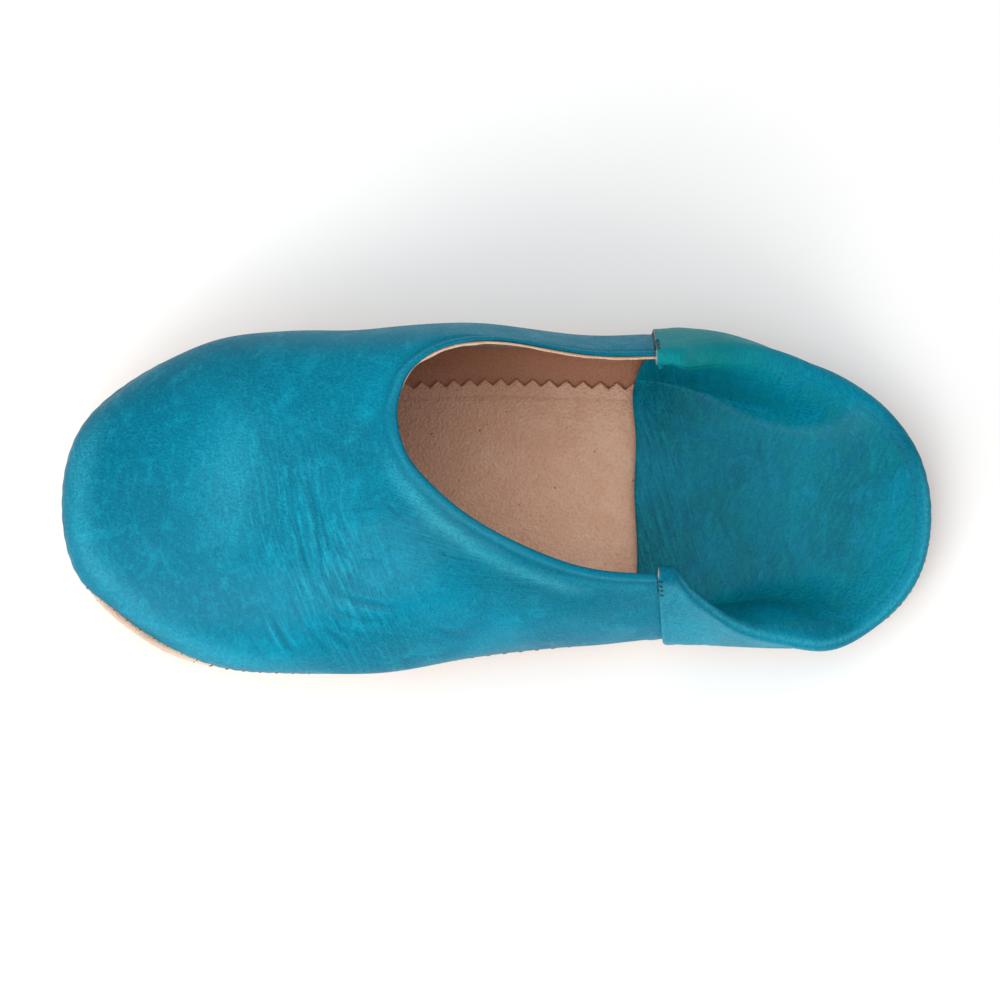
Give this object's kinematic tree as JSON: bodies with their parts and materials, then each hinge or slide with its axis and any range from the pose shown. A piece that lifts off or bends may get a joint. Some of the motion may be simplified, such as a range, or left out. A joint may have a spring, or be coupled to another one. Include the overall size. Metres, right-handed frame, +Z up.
{
  "type": "babouche slipper",
  "caption": "Backless leather slipper with a high rounded vamp, a trodden-down heel counter, a pinked insole and a turned-up sole.",
  "frame": {"origin": "middle of the flat spot under the heel, on the floor", "axes": "+Z up, -X towards the toe, -Y towards the inner (medial) side"},
  "size_m": [0.2703, 0.108, 0.0763],
  "materials": {
    "sole_leather": "natural, worn",
    "insole_leather": "natural, matt",
    "upper_leather": "dyed turquoise, smooth, half gloss",
    "counter_leather": "dyed turquoise, creased, half gloss"
  },
  "bodies": {
    "root": {"outsole": "sole_leather", "insole": "insole_leather", "upper": "upper_leather", "heel_counter": "counter_leather"}
  },
  "joints": []
}
